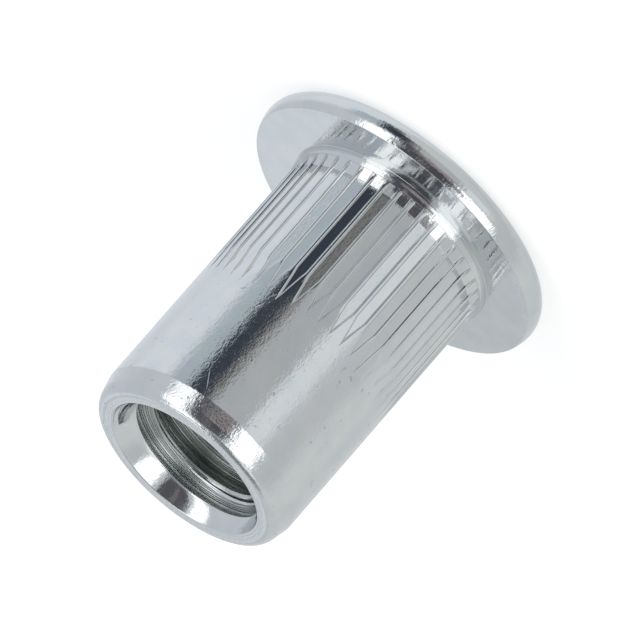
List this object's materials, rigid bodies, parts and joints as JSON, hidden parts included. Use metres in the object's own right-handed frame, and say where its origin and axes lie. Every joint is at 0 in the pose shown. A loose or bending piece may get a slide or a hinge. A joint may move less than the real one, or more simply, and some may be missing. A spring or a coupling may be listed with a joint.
{
  "type": "rivet nut",
  "caption": "One-piece blind threaded insert with a large flat flange, a straight-knurled shank with pointed flutes, and an open end with a rounded lead-in.",
  "frame": {"origin": "centre of the flange's flat outer face, on which the nut stands", "axes": "+Z along the nut's axis, from the flange to the open end; +X through the middle of one flute"},
  "size_m": [0.0162, 0.0162, 0.0176],
  "materials": {
    "zinc_plated_steel": "bright clear zinc plate on steel: smooth and glossy on the flange, collar, flutes and lead-in, and faintly mottled on the plain shank"
  },
  "bodies": {
    "root": {"rivet_nut": "zinc_plated_steel"}
  },
  "joints": []
}
